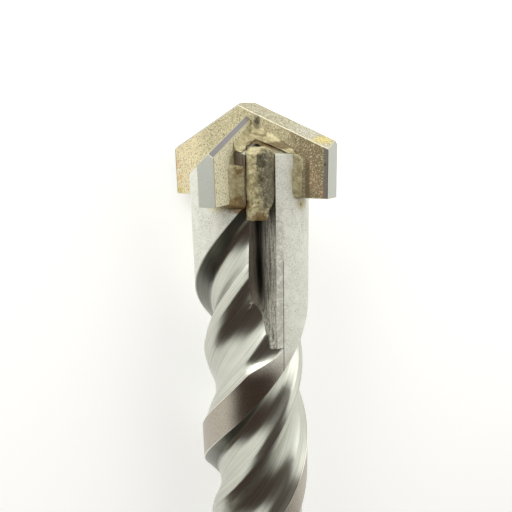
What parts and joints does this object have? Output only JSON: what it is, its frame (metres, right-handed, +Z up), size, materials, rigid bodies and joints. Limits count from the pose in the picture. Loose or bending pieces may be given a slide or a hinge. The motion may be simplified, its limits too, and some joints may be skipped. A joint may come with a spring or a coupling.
{
  "type": "masonry drill bit",
  "caption": "Hammer drill bit for masonry, with crossed carbide cutters brazed into a forged steel head, straight gullets running into helical flutes, and a slotted shank.",
  "frame": {"origin": "middle of the bit's length and width, at the height of the surface that it lies on", "axes": "+Y along the bit from its shank to its tip, +Z up from the surface that it lies on"},
  "size_m": [0.0186, 0.2496, 0.0205],
  "materials": {
    "steel": "bead-blasted and milled, matte",
    "carbide": "sintered, stained with braze, cutting faces ground",
    "braze": "dull, run and set, with flux stain"
  },
  "bodies": {
    "root": {"steel_body": "steel", "main_cutter": "carbide", "side_cutter_front": "carbide", "side_cutter_rear": "carbide", "braze_main": "braze", "braze_front": "braze", "braze_rear": "braze", "braze_bead": "braze"}
  },
  "joints": []
}
